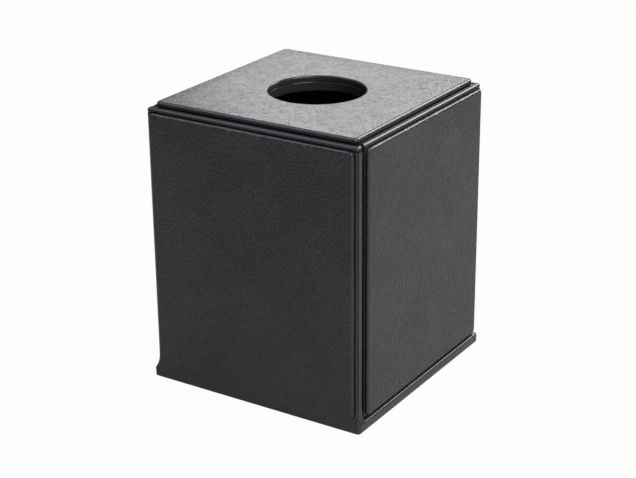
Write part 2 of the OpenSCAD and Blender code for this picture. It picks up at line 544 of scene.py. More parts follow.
    def curl(self, last: Column, onward: Vector) -> list[Column]:
        """Rolls the leather into a joint, beyond its last column, and paints shade on it there.

        Args:
            last: The last column, which lies in the joint's plane.
            onward: The direction in which the sheet runs towards the joint.

        Returns:
            The columns that follow, the first of which takes the last one's place.
        """
        r, gap = self.joint_r, self.joint_gap
        moves = [((sin - 1) * r - gap, (1 - cos) * r) for _, cos, sin in quarter_arc(self.joint_steps)]
        moves.append((-gap, r + self.tail))
        found = []
        for k, (shift, sink) in enumerate(moves):
            points = [p + onward * shift - f * sink for p, f in zip(last.points, last.facings)]
            # painted shade: each step into the joint is darker, down to the full painted shade
            painted_joint_shade = max(-1.0, -self.joint_painted_shade_step * (k + 1))
            found.append(Column(points, last.facings, [min(rub, painted_joint_shade) for rub in last.rubs]))
        return found

    def build(self) -> bpy.types.Object:
        """Builds the wall's leather as one sheet."""
        columns = [self.column(station) for station in self.stations()]
        start_on = Vector((0, 1, 0)) if self.free_start else Vector((-1, 0, 0))
        end_on = Vector((0, 1, 0)) if self.free_end else Vector((1, 0, 0))
        start, end = self.curl(columns[0], start_on), self.curl(columns[-1], end_on)
        columns = start[::-1] + columns[1:-1] + end
        turn = self.side.turn()
        thin_rows = len(self.tucked_rows()) - 1 if self.apron else 0
        sheet = Sheet()
        rows = []
        for k in range(len(columns[0].points)):
            body = self.apron_skived if k < thin_rows and k != self.apron_full_row else 1.0
            points = [turn @ column.points[k] for column in columns]
            rows.append(sheet.row(points, [column.rubs[k] for column in columns], body))
        sheet.join_all(rows, closed=False)
        inside = Vector((0, 0, (self.foot + self.head) / 2))
        return sheet.build(self.side.node("wall_leather"), inside, self.thickness)

    def dress(self, piece: bpy.types.Object, finish: bpy.types.Material) -> None:
        """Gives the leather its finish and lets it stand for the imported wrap."""
        hand_over(piece, self.side.node("wrap"), finish)


PANEL_CORNER_R = 2.6 * MM
# Shares of the way from a panel's rolled edge to its middle or to the lip of its hole
FACE_SHARES = (0.006, 0.016, 0.03, 0.05, 0.08, 0.12, 0.17, 0.23, 0.3, 0.38, 0.46, 0.54, 0.62, 0.7, 0.78)
MIDDLE_SHARES = (0.85, 0.91, 0.96)
LIP_SHARES = (0.84, 0.89, 0.93, 0.96, 0.98, 0.99, 1.0)


@dataclass(frozen=True)
class RingPoint:
    """A point of a rounded rectangle, its outward direction, and its share of a corner or None."""

    x: float
    y: float
    out_x: float
    out_y: float
    corner: float | None


@dataclass(frozen=True)
class RoundedRectangle:
    """A rectangle about the origin with rounded corners, always with the same number of points."""

    half_w: float
    half_h: float
    radius: float
    least_r: float = 0.3 * MM
    side_steps: int = 26
    corner_steps: int = 20

    def ring(self, inset: float = 0.0) -> list[RingPoint]:
        """Lays the outline out, drawn in by inset.

        Args:
            inset: How far the outline is drawn in.

        Returns:
            Its points, anticlockwise from the right end of the lower side.
        """
        r = max(self.radius - inset, self.least_r)
        reach_x, reach_y = self.half_w - inset - r, self.half_h - inset - r
        points: list[RingPoint] = []
        for quarter in range(4):
            sign_x = 1 if quarter in (0, 1) else -1
            sign_y = 1 if quarter in (1, 2) else -1
            centre = Vector((sign_x * reach_x, sign_y * reach_y))
            first = math.radians(90 * quarter - 90)
            for k in range(self.corner_steps + 1):
                share = k / self.corner_steps
                angle = first + share * math.pi / 2
                out = Vector((math.cos(angle), math.sin(angle)))
                place = centre + r * out
                points.append(RingPoint(place.x, place.y, out.x, out.y, share))
            sideways = Vector((-out.y, out.x))
            run = 2 * (reach_y if quarter in (0, 2) else reach_x)
            for share in dense_ends(self.side_steps)[1:-1]:
                spot = place + sideways * run * share
                points.append(RingPoint(spot.x, spot.y, out.x, out.y, None))
        return points


def toward_rim(edge: Sequence[RingPoint], rim_r: float, share: float = 1.0) -> list[tuple[float, float]]:
    """Lists places on the way from an outline's points straight to a circle round the middle.

    Args:
        edge: The outline's points.
        rim_r: The circle's radius.
        share: How far along the way the places are.

    Returns:
        The places, in the outline's order.
    """
    scales = [blend(1.0, rim_r / math.hypot(spot.x, spot.y), share) for spot in edge]
    return [(spot.x * scale, spot.y * scale) for spot, scale in zip(edge, scales)]


@dataclass(frozen=True)
class Collar:
    """Leather that rolls over the lip of a round hole and down inside it."""

    hole_r: float
    lip_r: float
    top: float
    foot: float
    roll_steps: int
    drop_steps: int

    def levels(self) -> list[tuple[float, float, float]]:
        """Lists radius, height and rub, from the lip to the collar's lower edge."""
        lip_r, lip_foot = self.lip_r, self.top - self.lip_r
        found = []
        for share, cos, sin in quarter_arc(self.roll_steps)[1:]:
            found.append((self.hole_r + lip_r * (1 - sin), lip_foot + lip_r * cos, bell(share)))
        for k in range(1, self.drop_steps + 1):
            found.append((self.hole_r, blend(lip_foot, self.foot, k / self.drop_steps), 0.0))
        return found


@dataclass
class RaisedPanel:
    """The leather skin of a raised panel: its sides, its rolled edges, its face and any hole."""

    name: str
    node: str
    turn: Matrix
    centre: Vector
    right: Vector
    up: Vector
    outline: RoundedRectangle
    height: float
    hole_r: float | None = None
    seed: float = 0.0
    thickness: float = 0.6 * MM
    roll_r: float = 1.5 * MM
    lip_r: float = 1.0 * MM
    foot_r: float = 0.4 * MM
    sink: float = 0.12 * MM
    # painted shade: how high up the sides the painted shade reaches from the foot
    shade_h: float = 1.5 * MM
    crown: float = 0.16 * MM
    crown_run: float = 11 * MM
    uneven: float = 0.05 * MM
    wave: float = 26 * MM
    pleats: int = 4
    pleat_depth: float = 0.11 * MM
    pleat_low_share: float = 0.2
    pleat_high_share: float = 0.35
    skived: float = 0.4
    foot_steps: int = 5
    straight_steps: int = 5
    roll_steps: int = 8

    @classmethod
    def on_wall(cls, side: Side) -> "RaisedPanel":
        """Sizes the panel of a wall from its packed skin.

        Args:
            side: The wall.

        Returns:
            The panel, ready to build.
        """
        low, high = side.box("panel_skin")
        half_w, half_h = (high.x - low.x) / 2, (high.z - low.z) / 2
        centre = Vector(((low.x + high.x) / 2, high.y, (low.z + high.z) / 2))
        return cls(
            name=side.node("panel_leather"),
            node=side.node("panel_skin"),
            turn=side.turn(),
            centre=centre,
            right=Vector((1, 0, 0)),
            up=Vector((0, 0, 1)),
            outline=RoundedRectangle(half_w, half_h, PANEL_CORNER_R),
            height=high.y - low.y,
            roll_r=1.3 * MM,
            foot_r=0.8 * MM,
            seed=3.0 + side.value,
        )

    @classmethod
    def on_top(cls) -> "RaisedPanel":
        """Sizes the top panel from its packed skin and returns it, ready to build."""
        low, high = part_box("top_panel_skin")
        return cls(
            name="top_panel_leather",
            node="top_panel_skin",
            turn=Matrix.Identity(3),
            centre=Vector((0, 0, low.z)),
            right=Vector((1, 0, 0)),
            up=Vector((0, 1, 0)),
            outline=RoundedRectangle(high.x, high.y, PANEL_CORNER_R),
            height=high.z - low.z,
            hole_r=bore_radius("top_panel_skin"),
            foot_r=1.1 * MM,
            shade_h=2.6 * MM,
            seed=8.0,
            pleat_depth=0.2 * MM,
        )

    def place(self, x: float, y: float, lift: float) -> Vector:
        """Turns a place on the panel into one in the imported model's frame."""
        out = self.right.cross(self.up)
        return self.turn @ (self.centre + self.right * x + self.up * y + out * lift)

    def pleat(self, corner: float | None, lift: float) -> float:
        """Gives the depth of the small pleats that gather the leather at the corners.

        Args:
            corner: The share of the corner that has been passed, or None on a straight side.
            lift: Height above the wall that the panel lies on.

        Returns:
            How deep the pleats draw the leather in.
        """
        if corner is None:
            return 0.0
        fold = (0.5 - 0.5 * math.cos(2 * math.pi * self.pleats * corner)) ** 3
        low, high = self.pleat_low_share * self.height, self.height - self.pleat_high_share * self.roll_r
        fade = 1 - smooth_step(low, high, lift)
        return self.pleat_depth * fold * fade

    def swell(self, x: float, y: float) -> float:
        """How far the face rises at a place: a soft crown, a little uneven."""
        room = min(self.outline.half_w - abs(x), self.outline.half_h - abs(y)) - self.roll_r
        if self.hole_r is not None:
            room = min(room, math.hypot(x, y) - self.hole_r - self.lip_r)
        share = min(1.0, max(0.0, room / self.crown_run))
        rise = self.crown * (1 - (1 - share) ** 2)
        spot = Vector((x, y, 0))
        return rise + self.uneven * share ** 0.5 * waviness(spot, self.seed, self.wave)

    def side_rows(self, sheet: Sheet) -> list[list[int]]:
        """Lays the panel's sides and rolled edges.

        Args:
            sheet: The sheet that takes the rows.

        Returns:
            The rows, from the foot to the start of the face.
        """
        straight, foot = self.height - self.roll_r, self.foot_r - self.sink
        levels = []
        for _, cos, sin in quarter_arc(self.foot_steps):
            levels.append((self.foot_r * (1 - sin), self.foot_r * (1 - cos) - self.sink, 0.0))
        steps = self.straight_steps
        levels += [(0.0, blend(foot, straight, k / steps), 0.0) for k in range(1, steps + 1)]
        for share, cos, sin in quarter_arc(self.roll_steps)[1:]:
            levels.append((self.roll_r * (1 - cos), straight + self.roll_r * sin, bell(share)))
        rows = []
        for inset, lift, rub in levels:
            points, rubs = [], []
            # painted shade: the sides are darkened towards the foot, below the painted shade height, except
            # the side whose outline faces +y on the panel
            shade = min(0.0, (lift + self.sink) / self.shade_h - 1)
            for spot in self.outline.ring(inset):
                fold = self.pleat(spot.corner, lift)
                points.append(self.place(spot.x - spot.out_x * fold, spot.y - spot.out_y * fold, lift))
                rubs.append(shade * (1 - max(0.0, spot.out_y)) if shade < 0 else rub)
            rows.append(sheet.row(points, rubs, 1.0 if lift >= foot else self.skived))
        return rows

    def face_rows(self, sheet: Sheet) -> list[list[int]]:
        """Lays the face, from the rolled edges to the hole's lip or to the middle.

        Args:
            sheet: The sheet that takes the rows.

        Returns:
            The rows, from the edge inwards.
        """
        edge = self.outline.ring(self.roll_r)
        rim_r = 0.0 if self.hole_r is None else self.hole_r + self.lip_r
        rows = []
        for share in FACE_SHARES + (MIDDLE_SHARES if self.hole_r is None else LIP_SHARES):
            spots = toward_rim(edge, rim_r, share)
            rows.append(sheet.row([self.place(x, y, self.height + self.swell(x, y)) for x, y in spots]))
        return rows

    def hole_rows(self, sheet: Sheet, hole_r: float) -> list[list[int]]:
        """Rolls the leather into the hole and down to its lower edge.

        Args:
            sheet: The sheet that takes the rows.
            hole_r: The hole's radius inside the leather.

        Returns:
            The rows, from the lip downwards.
        """
        edge = self.outline.ring(self.roll_r)
        collar = Collar(hole_r, self.lip_r, self.height, 0.0, self.roll_steps, self.straight_steps)
        rows = []
        for radius, lift, rub in collar.levels():
            rows.append(sheet.row([self.place(x, y, lift) for x, y in toward_rim(edge, radius)], rub))
        return rows

    def build(self) -> bpy.types.Object:
        """Builds the skin as one sheet."""
        sheet = Sheet()
        rows = self.side_rows(sheet) + self.face_rows(sheet)
        if self.hole_r is None:
            sheet.fan(rows[-1], self.place(0, 0, self.height + self.swell(0, 0)))
        else:
            rows += self.hole_rows(sheet, self.hole_r)
        sheet.join_all(rows, closed=True)
        far_behind = self.place(0, 0, -20 * self.height)
        return sheet.build(self.name, far_behind, self.thickness)

    def dress(self, piece: bpy.types.Object, finish: bpy.types.Material) -> None:
        """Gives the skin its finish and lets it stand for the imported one."""
        hand_over(piece, self.node, finish)


@dataclass
class TopLeather:
    """The leather over the board between the walls, with the collar that rolls down its hole."""

    corner_r: float = 1.2 * MM
    joint_r: float = 0.5 * MM
    joint_gap: float = 0.02 * MM
    tail: float = 1.2 * MM
    lip_r: float = 0.6 * MM
    thickness: float = 0.4 * MM
    hem: float = 0.5 * MM
    uneven: float = 0.02 * MM
    wave: float = 20 * MM
    seed: float = 11.0
    joint_steps: int = 4
    face_steps: int = 14
    roll_steps: int = 8
    drop_steps: int = 6

    def __post_init__(self) -> None:
        """Reads the leather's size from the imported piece."""
        low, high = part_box("top_wrap")
        self.half = high.x - self.joint_gap
        self.head, self.foot = high.z, low.z
        self.hole_r = bore_radius("top_wrap")

    def build(self) -> bpy.types.Object:
        """Builds the leather as one sheet, from the joints with the walls to the collar's edge."""
        outline = RoundedRectangle(self.half, self.half, self.corner_r)
        sheet = Sheet()
        r, head = self.joint_r, self.head
        levels = [(0.0, head - r - self.tail)]
        levels += [(r * (1 - cos), head - r * (1 - sin)) for _, cos, sin in quarter_arc(self.joint_steps)]
        rows = [sheet.row([Vector((spot.x, spot.y, z)) for spot in outline.ring(at)]) for at, z in levels]
        edge = outline.ring(r)
        for k in range(1, self.face_steps + 1):
            share = k / self.face_steps
            spots = toward_rim(edge, self.hole_r + self.lip_r, share)
            points = [Vector((x, y, head)) for x, y in spots]
            for point in points:
                point.z += self.uneven * waviness(point, self.seed, self.wave) * bell(share)
            rows.append(sheet.row(points))
        low = self.foot - self.hem
        collar = Collar(self.hole_r, self.lip_r, head, low, self.roll_steps, self.drop_steps)
        for radius, z, rub in collar.levels():
            rows.append(sheet.row([Vector((x, y, z)) for x, y in toward_rim(edge, radius)], rub))
        sheet.join_all(rows, closed=True)
        return sheet.build("top_board_leather", Vector((0, 0, 0)), self.thickness)

    def dress(self, piece: bpy.types.Object, finish: bpy.types.Material) -> None:
        """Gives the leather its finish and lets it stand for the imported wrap."""
        hand_over(piece, "top_wrap", finish)


@dataclass
class BaseRim:
    """The leather of the low rim that the walls stand on."""

    corner_r: float = 2.1 * MM
    edge_r: float = 1.1 * MM
    thickness: float = 0.7 * MM
    uneven: float = 0.02 * MM
    wave: float = 15 * MM
    seed: float = 14.0
    foot_polish: float = 0.4
    roll_steps: int = 6
    flat_steps: int = 4

    def __post_init__(self) -> None:
        """Reads the rim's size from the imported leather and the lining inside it."""
        low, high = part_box("base_wrap")
        self.half_w, self.half_d = high.x, high.y
        self.foot, self.head = low.z, high.z
        self.band = high.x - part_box("right_lining")[1].x

    def levels(self) -> list[tuple[float, float, float]]:
        """Lists the rim's profile as inset, height and rub, from under the lining, round and back."""
        r, flat = self.edge_r, self.flat_steps
        low, high = self.foot, self.head
        arc = quarter_arc(self.roll_steps)
        found = [(blend(self.band, r, k / flat), low, 0.0) for k in range(flat)]
        for share, cos, sin in arc:
            found.append((r * (1 - sin), low + r * (1 - cos), self.foot_polish * bell(share)))
        found += [(0.0, blend(low + r, high - r, k / flat), 0.0) for k in range(1, flat)]
        found += [(r * (1 - cos), high - r * (1 - sin), bell(share)) for share, cos, sin in arc]
        return found + [(blend(r, self.band, k / flat), high, 0.0) for k in range(1, flat + 1)]

    def build(self) -> bpy.types.Object:
        """Builds the rim's leather as one closed band."""
        outline = RoundedRectangle(self.half_w, self.half_d, self.corner_r)
        sheet = Sheet()
        rows = []
        for inset, z, rub in self.levels():
            points = []
            for spot in outline.ring(inset):
                bump = self.uneven * waviness(Vector((spot.x, spot.y, z)), self.seed, self.wave)
                bump *= 1 - smooth_step(0, self.edge_r, inset)
                points.append(Vector((spot.x + spot.out_x * bump, spot.y + spot.out_y * bump, z)))
            rows.append(sheet.row(points, rub))
        sheet.join_all(rows, closed=True)
        middle = Vector((0, 0, (self.foot + self.head) / 2))
        return sheet.build("base_rim_leather", middle, self.thickness)

    def dress(self, piece: bpy.types.Object, finish: bpy.types.Material) -> None:
        """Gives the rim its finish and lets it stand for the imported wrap."""
        hand_over(piece, "base_wrap", finish)


@dataclass
class PackedPieces:
    """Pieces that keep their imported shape, with softened edges where edge_r is over 0."""

    endings: tuple[str, ...]
    slot: str
    edge_r: float = 0.0
    weld_gap: float = 0.001 * MM

    def build(self) -> list[bpy.types.Object]:
        """Finds the pieces and, where they have an edge radius, softens their edges.

        Returns:
            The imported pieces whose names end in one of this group's endings.
        """
        found = [piece for name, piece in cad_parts.items() if name.endswith(self.endings)]
        for piece in found if self.edge_r > 0 else []:
            weld = piece.modifiers.new("weld", "WELD")
            weld.merge_threshold = self.weld_gap
            soft = piece.modifiers.new("soft edges", "BEVEL")
            soft.width = self.edge_r
            soft.segments = 2
        return found

    def dress(self, pieces: list[bpy.types.Object], finish: bpy.types.Material) -> None:
        """Gives every piece of the group its finish."""
        for piece in pieces:
            piece.data.materials.clear()
            piece.data.materials.append(finish)
            log.info("%s: keeps its packed shape", piece.name)


Feed = Any
NODES_PER_ROW = 12
NODE_STEP = (180, -220)


class NodeBench:
    """Adds nodes to one tree and feeds them."""

    def __init__(self, tree: bpy.types.NodeTree) -> None:
        """Starts on a tree, with no node in hand."""
        self.tree = tree
        self.count = 0

    def add(
        self, kind: str, feeds: dict[str | int, Feed] | None = None, **settings: Feed
    ) -> bpy.types.Node:
        """Adds a node.

        Args:
            kind: The node's type name.
            feeds: What its sockets take, by name or number: a value or another node's output.
            **settings: The node's own properties.

        Returns:
            The new node.
        """
        node = self.tree.nodes.new(kind)
        self.count += 1
        down, across = divmod(self.count, NODES_PER_ROW)
        node.location = (NODE_STEP[0] * across, NODE_STEP[1] * down)
        for key, value in settings.items():
            setattr(node, key, value)
        self.feed_all(node, feeds or {})
        return node

    def feed(self, node: bpy.types.Node, key: str | int, value: Feed) -> None:
        """Links a socket to an output, or sets its value."""
        socket = node.inputs[key]
        if isinstance(value, bpy.types.NodeSocket):
            self.tree.links.new(value, socket)
        elif isinstance(value, tuple) and socket.type == "RGBA":
            socket.default_value = (*value[:3], 1.0)
        else:
            socket.default_value = value

    def feed_all(self, node: bpy.types.Node, feeds: dict[str | int, Feed]) -> None:
        """Links or sets several sockets of a node."""
        for key, value in feeds.items():
            self.feed(node, key, value)

    def place(self) -> bpy.types.NodeSocket:
        """Gives the place on the piece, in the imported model's frame."""
        return self.add("ShaderNodeTexCoord").outputs["Object"]

    def group(self, tree: bpy.types.NodeTree, feeds: dict[str | int, Feed]) -> Any:
        """Adds a node group and returns its outputs."""
        return self.add("ShaderNodeGroup", feeds, node_tree=tree).outputs

    def math(
        self, operation: str, a: Feed, b: Feed = 0.0, c: Feed = 0.0, clamp: bool = False
    ) -> bpy.types.NodeSocket:
        """Adds a sum of two or three values and returns its result."""
        node = self.add("ShaderNodeMath", {0: a, 1: b, 2: c}, operation=operation, use_clamp=clamp)
        return node.outputs[0]

    def vector(self, operation: str, a: Feed, b: Feed) -> bpy.types.NodeSocket:
        """Adds a sum of a vector with another, or with the value that scales it, and returns its result."""
        other = "Scale" if operation == "SCALE" else 1
        return self.add("ShaderNodeVectorMath", {0: a, other: b}, operation=operation).outputs[0]

    def ramp(
        self, value: Feed, low: float, high: float, start: float = 0.0, end: float = 1.0
    ) -> bpy.types.NodeSocket:
        """Maps low to start and high to end with a smooth step, and returns the result."""
        feeds = {"Value": value, "From Min": low, "From Max": high, "To Min": start, "To Max": end}
        return self.add("ShaderNodeMapRange", feeds, interpolation_type="SMOOTHSTEP").outputs[0]

    def mix(self, share: Feed, a: Feed, b: Feed) -> bpy.types.NodeSocket:
        """Mixes two colours and returns the result."""
        return self.add("ShaderNodeMix", {0: share, 6: a, 7: b}, data_type="RGBA").outputs[2]

    def noise(self, vector: Feed, scale: float, detail: float = 2.0) -> bpy.types.Node:
        """Adds a noise of that many waves to the unit of its vector."""
        return self.add("ShaderNodeTexNoise", {"Vector": vector, "Scale": scale, "Detail": detail})

    def bump(self, shader: bpy.types.Node, height: Feed, depth: float, strength: float = 1.0) -> None:
        """Roughens a shader by a height of that depth."""
        node = self.add("ShaderNodeBump", {"Height": height, "Distance": depth, "Strength": strength})
        self.feed(shader, "Normal", node.outputs[0])


class EffectGroup:
    """A node group with named inputs and outputs, built once and used by several materials."""

    def __init__(self, name: str, takes: dict[str, tuple[str, Feed]], gives: Sequence[str]) -> None:
        """Opens the group.

        Args:
            name: The group's name.
            takes: Each input's name, with its socket type and usual value.
            gives: The names of its outputs, all of them values.
        """
        self.tree = bpy.data.node_groups.new(name, "ShaderNodeTree")
        for label, (kind, usual) in takes.items():
            socket = self.tree.interface.new_socket(label, in_out="INPUT", socket_type=kind)
            if usual is not None:
                socket.default_value = usual
        for label in gives:
            self.tree.interface.new_socket(label, in_out="OUTPUT", socket_type="NodeSocketFloat")
        self.bench = NodeBench(self.tree)
        self.given = self.bench.add("NodeGroupInput").outputs
        self.out = self.bench.add("NodeGroupOutput")

    def give(self, label: str, value: Feed) -> None:
        """Leads a value to one of the group's outputs."""
        self.bench.feed(self.out, label, value)


VECTOR = "NodeSocketVector"
FLOAT = "NodeSocketFloat"

# The grain's measures, counted in pebbles
PEBBLE_FLANK = 0.34
CREASE_HALF_W = 0.22
WARPS_PER_PEBBLE = 0.8
DRIFTS_PER_PEBBLE = 0.34
PORES_PER_PEBBLE = 4.5
# How strong a crease still is where it is weakest
SHALLOW_CREASE = 0.55
# How fine the other noises are, and the spans of their values that are stretched to the whole range
MOTTLES_PER_PATCH = 6.0
WEAR_PER_METRE = 260.0
DRIFT_SPAN = (0.3, 0.6)
NOISE_SPAN = (0.3, 0.7)
WEAR_SPAN = (0.35, 0.65)


def grain_group() -> bpy.types.NodeTree:
    """Builds the leather grain: pebbles parted by creases, gathered in drifts, with fine pores.

    Returns:
        A group that takes a place, the pebbles' number to the metre, their stretch and the weight of
        the drifts and pores, and gives the height and a mask of the creases.
    """
    takes = {
        "Vector": (VECTOR, None),
        "Pebbles": (FLOAT, 1000.0),
        "Stretch": (VECTOR, (1.0, 1.0, 1.0)),
        "Wander": (FLOAT, 0.35),
        "Drifts": (FLOAT, 0.3),
        "Pores": (FLOAT, 0.15),
    }
    group = EffectGroup("leather_grain", takes, ("Height", "Crease"))
    bench, given = group.bench, group.given
    laid = bench.vector("MULTIPLY", given["Vector"], given["Stretch"])
    sized = bench.vector("SCALE", laid, given["Pebbles"])
    warp = bench.noise(sized, WARPS_PER_PEBBLE, 1.0).outputs["Color"]
    centred = bench.vector("SUBTRACT", warp, (0.5, 0.5, 0.5))
    place = bench.vector("ADD", sized, bench.vector("SCALE", centred, given["Wander"]))
    cells = bench.add("ShaderNodeTexVoronoi", {"Vector": place, "Scale": 1.0}, feature="DISTANCE_TO_EDGE")
    pebble = bench.ramp(cells.outputs["Distance"], 0.0, PEBBLE_FLANK)
    crease = bench.ramp(cells.outputs["Distance"], 0.0, CREASE_HALF_W, 1.0, 0.0)
    drift = bench.noise(place, DRIFTS_PER_PEBBLE).outputs["Fac"]
    pore = bench.noise(place, PORES_PER_PEBBLE, 1.0).outputs["Fac"]
    soft = bench.math("MULTIPLY", drift, given["Drifts"])
    fine = bench.math("MULTIPLY", pore, given["Pores"])
    group.give("Height", bench.math("ADD", bench.math("ADD", pebble, soft), fine))
    group.give("Crease", bench.math("MULTIPLY", crease, bench.ramp(drift, *DRIFT_SPAN, SHALLOW_CREASE)))
    return group.tree


def tone_group() -> bpy.types.NodeTree:
    """Builds slow changes of tone over a surface.

    Returns:
        A group that takes a place and the number of patches to the metre, and gives a broad and a
        mottled value from 0 to 1.
    """
    takes = {"Vector": (VECTOR, None), "Patches": (FLOAT, 28.0)}
    group = EffectGroup("tone", takes, ("Broad", "Mottled"))
    bench, given = group.bench, group.given
    sized = bench.vector("SCALE", given["Vector"], given["Patches"])
    broad = bench.noise(sized, 1.0, 1.0).outputs["Fac"]
    mottled = bench.noise(sized, MOTTLES_PER_PATCH, 3.0).outputs["Fac"]
    group.give("Broad", bench.ramp(broad, *NOISE_SPAN))
    group.give("Mottled", bench.ramp(mottled, *NOISE_SPAN))
    return group.tree


def rub_group() -> bpy.types.NodeTree:
    """Builds the polish of handled edges.

    Returns:
        A group that takes the edge mask, a place and how broken the polish is, and gives the polish.
    """
    takes = {"Mask": (FLOAT, 0.0), "Vector": (VECTOR, None), "Broken": (FLOAT, 0.4)}
    group = EffectGroup("edge_polish", takes, ("Polish",))
    bench, given = group.bench, group.given
    worn = bench.noise(given["Vector"], WEAR_PER_METRE, 3.0).outputs["Fac"]
    gap = bench.math("MULTIPLY", bench.ramp(worn, *WEAR_SPAN), given["Broken"])
    kept = bench.math("SUBTRACT", 1.0, gap)
    group.give("Polish", bench.math("MULTIPLY", given["Mask"], kept, clamp=True))
    return group.tree


@dataclass
class Effects:
    """The node groups that the materials share."""

    grain: bpy.types.NodeTree = field(default_factory=grain_group)
    tone: bpy.types.NodeTree = field(default_factory=tone_group)
    rub: bpy.types.NodeTree = field(default_factory=rub_group)


def open_material(name: str) -> tuple[bpy.types.Material, NodeBench, bpy.types.Node]:
    """Starts a material.

    Args:
        name: Its name.

    Returns:
        The material, a bench on its nodes, and its Principled BSDF.
    """
    material = bpy.data.materials.new(name)
    material.use_nodes = True
    bench = NodeBench(material.node_tree)
    return material, bench, material.node_tree.nodes["Principled BSDF"]


@dataclass(frozen=True)
class LeatherFinish:
    """Black grained leather, satin, a little polished on its edges, and with painted shade in its folds and
    joints.

    The mesh's rub says where: above 0 the leather is polished, and below 0 it lies in a fold or joint and
    gets painted shade.
    """

    name: str
    pebble: float
    grain_depth: float
    colour: Colour = (0.0265, 0.0300, 0.0370)
    crease_colour: Colour = (0.0135, 0.0152, 0.0188)
    rub_colour: Colour = (0.0345, 0.0375, 0.0435)
    # painted shade: the colour that folds, joints and panel feet are darkened towards
    fold_painted_shade_colour: Colour = (0.002, 0.002, 0.002)
    roughness: float = 0.20
    specular: float = 0.42
    stretch: tuple[float, float, float] = (1.0, 1.0, 0.75)
    wander: float = 0.9
    drifts: float = 0.5
    pores: float = 0.12
    tone_reach: float = 0.16
    crease_share: float = 0.7
    rub_share: float = 0.5
    crease_dulling: float = 0.06
    patch_dulling: float = 0.05
    shine: float = 0.10
    smoothing: float = 0.92

    def build(self, effects: Effects) -> bpy.types.Material:
        """Builds the material.

        Args:
            effects: The shared node groups.

        Returns:
            The material, with its grain, tone, polish and folds.
        """
        material, bench, shader = open_material(self.name)
        place = bench.place()
        grained = {"Vector": place, "Pebbles": 1 / self.pebble, "Stretch": self.stretch}
        grained |= {"Wander": self.wander, "Drifts": self.drifts, "Pores": self.pores}
        grain = bench.group(effects.grain, grained)
        tone = bench.group(effects.tone, {"Vector": place})
        mask = bench.add("ShaderNodeAttribute", attribute_name="rub").outputs["Fac"]
        polish = bench.group(effects.rub, {"Mask": mask, "Vector": place})["Polish"]
        # painted shade: where the rub mask is below 0, the colour is darkened and the gloss cut in place of
        # the shade that falls in folds and joints
        fold = bench.math("MULTIPLY", mask, -1.0, clamp=True)
        crease = bench.math("MULTIPLY", grain["Crease"], bench.math("SUBTRACT", 1.0, polish))

        lighter = tuple(c * (1 + self.tone_reach) for c in self.colour)
        darker = tuple(c * (1 - self.tone_reach) for c in self.colour)
        toned = bench.mix(tone["Broad"], darker, lighter)
        creased = bench.mix(bench.math("MULTIPLY", crease, self.crease_share), toned, self.crease_colour)
        worn = bench.mix(bench.math("MULTIPLY", polish, self.rub_share), creased, self.rub_colour)
        # painted shade darkens the base colour where the rub mask is below 0
        bench.feed(shader, "Base Color", bench.mix(fold, worn, self.fold_painted_shade_colour))

        # painted shade: the gloss falls to nothing as the painted shade deepens, so folds mirror no light
        gloss = bench.math("MULTIPLY", bench.math("SUBTRACT", 1.0, fold), self.specular)
        dull = bench.math("MULTIPLY_ADD", crease, self.crease_dulling, self.roughness)
        patchy = bench.math("MULTIPLY_ADD", tone["Mottled"], self.patch_dulling, dull)
        shine = bench.math("MULTIPLY", mask, self.shine, clamp=True)
        rough = bench.math("SUBTRACT", patchy, shine, clamp=True)
        bench.feed_all(shader, {"Specular IOR Level": gloss, "Roughness": rough})

        smooth = bench.math("MULTIPLY", mask, self.smoothing, clamp=True)
        relief = bench.math("MULTIPLY", grain["Height"], bench.math("SUBTRACT", 1.0, smooth))
        bench.bump(shader, relief, self.grain_depth)
        return material


@dataclass(frozen=True)
class SuedeFinish:
    """Black suede: no gloss, a short nap that lies in patches."""

    name: str = "suede_lining"
    colour: Colour = (0.028, 0.031, 0.036)
    brushed: Colour = (0.048, 0.052, 0.058)
    fibres: float = 2600.0
    fibre_span: tuple[float, float] = (0.35, 0.7)
    fibre_share: float = 0.5
    patches: float = 45.0
    patch_share: float = 0.5
    roughness: float = 0.95
    specular: float = 0.15
    sheen: float = 0.12
    sheen_roughness: float = 0.6
    nap_depth: float = 0.12 * MM
    nap_strength: float = 0.8

    def build(self, effects: Effects) -> bpy.types.Material:
        """Builds the material.

        Args:
            effects: The shared node groups.

        Returns:
            The material.
        """
        material, bench, shader = open_material(self.name)
        place = bench.place()
        tone = bench.group(effects.tone, {"Vector": place, "Patches": self.patches})
        fibres = bench.noise(place, self.fibres).outputs["Fac"]
        speckle = bench.math("MULTIPLY", bench.ramp(fibres, *self.fibre_span), self.fibre_share)
        patch = bench.math("MULTIPLY", tone["Broad"], self.patch_share)
        lit = bench.math("ADD", patch, speckle, clamp=True)
        feeds = {"Base Color": bench.mix(lit, self.colour, self.brushed), "Roughness": self.roughness}
        feeds |= {"Specular IOR Level": self.specular}
        feeds |= {"Sheen Weight": self.sheen, "Sheen Roughness": self.sheen_roughness}
        bench.feed_all(shader, feeds)
        bench.bump(shader, fibres, self.nap_depth, self.nap_strength)
        return material


